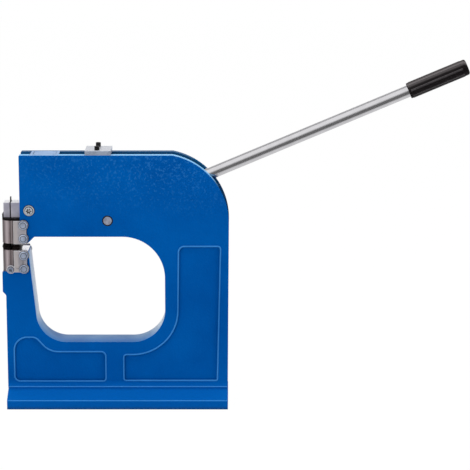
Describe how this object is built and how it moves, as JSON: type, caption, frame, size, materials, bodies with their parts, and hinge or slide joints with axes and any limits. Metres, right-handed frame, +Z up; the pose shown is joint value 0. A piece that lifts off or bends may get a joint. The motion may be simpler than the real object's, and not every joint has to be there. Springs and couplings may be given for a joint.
{
  "type": "shrinker stretcher",
  "caption": "Bench shrinker stretcher: cast C-frame whose hand lever drives a cam, rocker and ram that press sliding toothed jaws on a sheet edge.",
  "frame": {"origin": "centre of the foot's underside", "axes": "+Z up, +X towards the handle, -X towards the jaws, +Y across the casting"},
  "size_m": [0.7715, 0.1, 0.5812],
  "materials": {
    "blue_paint": "gloss, slightly rough cast surface",
    "cover_steel": "ground",
    "bridge_steel": "zinc plated",
    "black_screw": "black oxide",
    "spring_steel": "oiled",
    "pin_steel": "ground",
    "zinc_bolt": "zinc plated",
    "hub_steel": "machined",
    "bar_steel": "bright drawn",
    "grip_rubber": "satin",
    "ram_steel": "ground",
    "strip_steel": "blued spring steel",
    "wiper_rubber": "matt",
    "housing_steel": "ground",
    "plate_steel": "zinc plated",
    "jaw_steel": "black hardened"
  },
  "bodies": {
    "frame": {"frame": "blue_paint", "front_cover": "cover_steel", "front_cover_screws": "cover_steel", "bridge_plate": "bridge_steel", "bridge_screws": "black_screw", "return_spring": "spring_steel", "pivot_pin": "pin_steel", "pivot_rings": "black_screw", "pivot_bolt": "zinc_bolt", "pivot_nut": "zinc_bolt", "lower_housing": "housing_steel", "lower_side_plates": "plate_steel", "lower_plate_bolts": "zinc_bolt", "lower_plate_screws": "zinc_bolt"},
    "handle": {"handle_hub": "hub_steel", "hub_screw": "black_screw", "handle_bar": "bar_steel", "handle_grip": "grip_rubber"},
    "rocker": {"rocker": "hub_steel", "roller_pin": "pin_steel"},
    "roller": {"cam_roller": "pin_steel"},
    "ram": {"ram": "ram_steel", "ram_front_bar": "ram_steel", "ram_strip": "strip_steel", "wiper": "wiper_rubber", "upper_housing": "housing_steel", "upper_side_plates": "plate_steel", "upper_plate_bolts": "zinc_bolt"},
    "upper_front_jaw": {"upper_front_jaw": "jaw_steel", "upper_front_jaw_pin": "jaw_steel"},
    "upper_rear_jaw": {"upper_rear_jaw": "jaw_steel", "upper_rear_jaw_pin": "jaw_steel"},
    "lower_front_jaw": {"lower_front_jaw": "jaw_steel", "lower_front_jaw_pin": "jaw_steel"},
    "lower_rear_jaw": {"lower_rear_jaw": "jaw_steel", "lower_rear_jaw_pin": "jaw_steel"}
  },
  "joints": [
    {"name": "handle_lift", "type": "hinge", "parent": "frame", "child": "handle", "pos_m": [-0.0143, 0, 0.317], "axis": [0, -1, 0], "range_deg": [0, 50]},
    {"name": "rocker_tilt", "type": "hinge", "parent": "frame", "child": "rocker", "pos_m": [-0.1438, 0, 0.3342], "axis": [0, -1, 0], "range_deg": [-12.31, 0], "deforming": ["return_spring"]},
    {"name": "ram_slide", "type": "slide", "parent": "frame", "child": "ram", "axis": [0, 0, 1], "range_m": [0, 0.00501]},
    {"name": "roller_spin", "type": "hinge", "parent": "rocker", "child": "roller", "pos_m": [-0.036, 0, 0.37], "axis": [0, 1, 0], "continuous": true},
    {"name": "upper_front_jaw_slide", "type": "slide", "parent": "ram", "child": "upper_front_jaw", "axis": [0.342, 0, 0.9397], "range_m": [0, 0.003], "stiffness_N_per_m": 2000, "springref_m": -0.003},
    {"name": "upper_rear_jaw_slide", "type": "slide", "parent": "ram", "child": "upper_rear_jaw", "axis": [-0.342, 0, 0.9397], "range_m": [0, 0.003], "stiffness_N_per_m": 2000, "springref_m": -0.003},
    {"name": "lower_front_jaw_slide", "type": "slide", "parent": "frame", "child": "lower_front_jaw", "axis": [0.342, 0, -0.9397], "range_m": [0, 0.003], "stiffness_N_per_m": 2000, "springref_m": -0.003},
    {"name": "lower_rear_jaw_slide", "type": "slide", "parent": "frame", "child": "lower_rear_jaw", "axis": [-0.342, 0, -0.9397], "range_m": [0, 0.003], "stiffness_N_per_m": 2000, "springref_m": -0.003}
  ],
  "couplings": [
    {"joint": "rocker_tilt", "follows": "handle_lift", "ratio": -0.24602},
    {"joint": "ram_slide", "follows": "handle_lift", "m_per_rad": 0.0057296}
  ]
}
